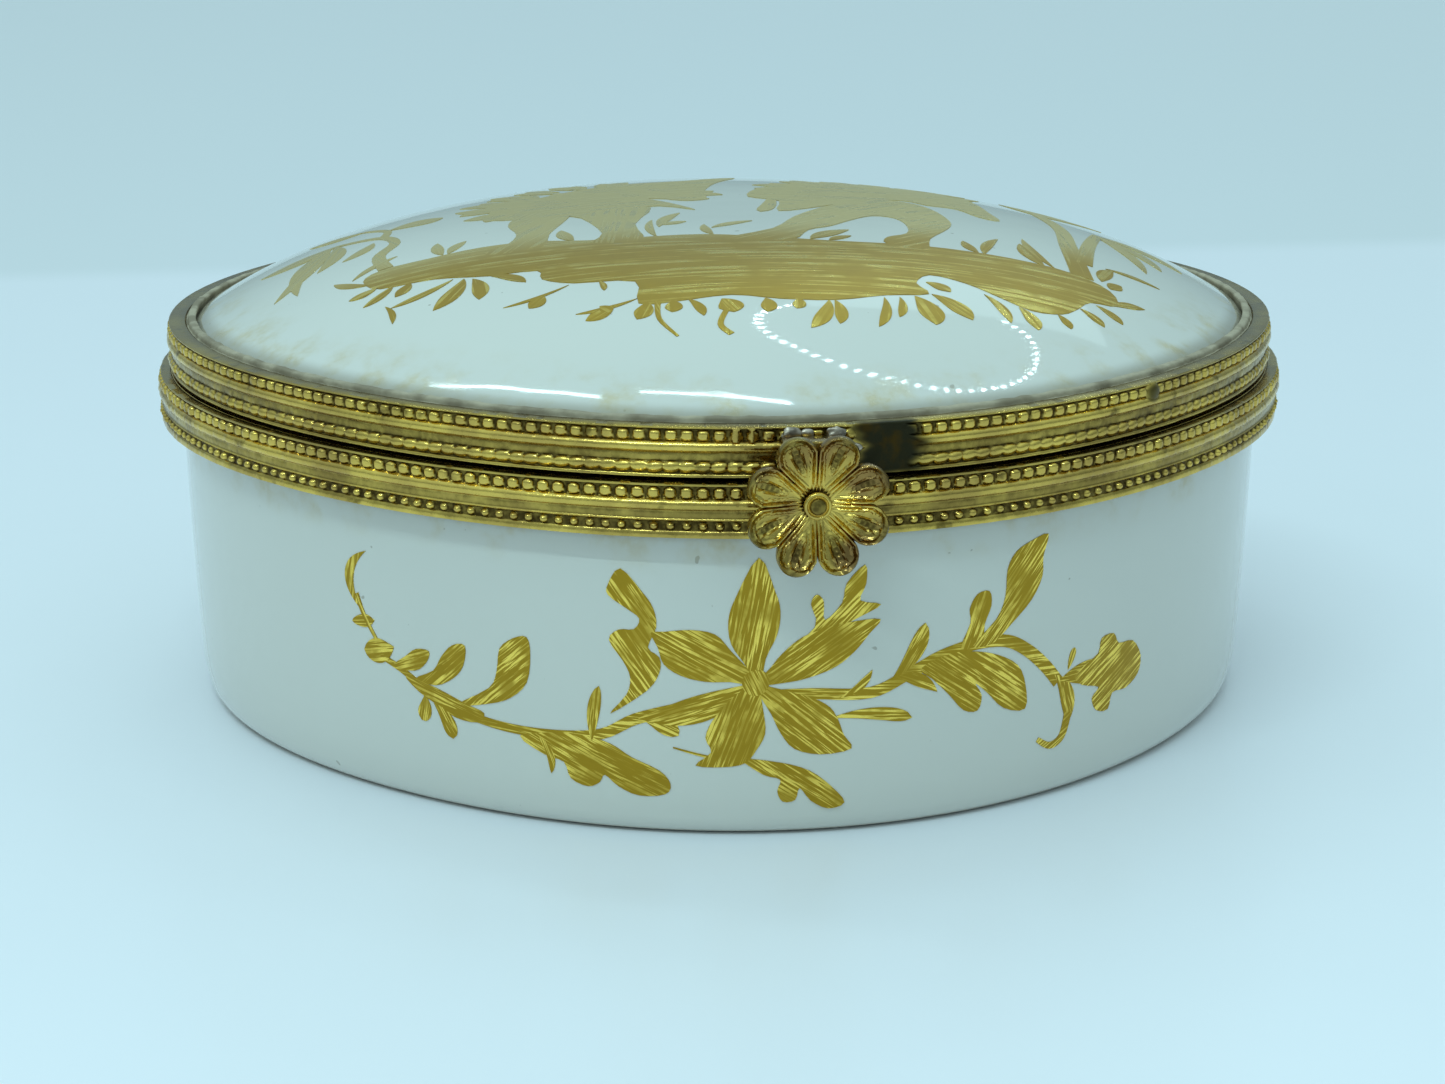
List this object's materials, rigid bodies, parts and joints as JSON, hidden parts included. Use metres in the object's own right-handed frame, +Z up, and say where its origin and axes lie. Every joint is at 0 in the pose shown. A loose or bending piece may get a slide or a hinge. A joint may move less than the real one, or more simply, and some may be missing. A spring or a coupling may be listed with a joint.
{
  "type": "trinket box",
  "caption": "Round porcelain trinket box with a shallow domed lid, embossed brass mounts, a back hinge and a daisy snap clasp.",
  "frame": {"origin": "on the box's axis, at the surface that the foot ring stands on", "axes": "+Z up, -Y towards the clasp, +Y towards the hinge, +X to the right seen from the clasp"},
  "size_m": [0.0906, 0.0963, 0.0383],
  "materials": {
    "porcelain": "gloss",
    "cement": "matte",
    "aged_brass": "satin",
    "bright_brass": "polished",
    "pin_steel": "satin"
  },
  "bodies": {
    "base": {"base_bowl": "porcelain", "base_cement": "cement", "base_band": "aged_brass", "base_collar": "aged_brass", "catch_nib": "aged_brass", "base_hinge_plate": "aged_brass", "base_knuckle_left": "aged_brass", "base_knuckle_centre": "aged_brass", "base_knuckle_right": "aged_brass", "hinge_pin": "pin_steel"},
    "lid": {"lid_dome": "porcelain", "lid_cement": "cement", "lid_band": "aged_brass", "lid_collar": "aged_brass", "lid_hinge_plate": "aged_brass", "lid_knuckle_left": "aged_brass", "lid_knuckle_right": "aged_brass"},
    "clasp": {"clasp_tongue": "aged_brass", "clasp_flower": "bright_brass", "clasp_boss": "bright_brass"}
  },
  "joints": [
    {"name": "lid_hinge", "type": "hinge", "parent": "base", "child": "lid", "pos_m": [0, 0.0468, 0.02675], "axis": [-1, 0, 0], "range_deg": [0, 97]},
    {"name": "clasp_flex", "type": "hinge", "parent": "lid", "child": "clasp", "pos_m": [0, -0.0452, 0.0292], "axis": [-1, 0, 0], "range_deg": [0, 4], "stiffness_Nm_per_rad": 0.2}
  ]
}
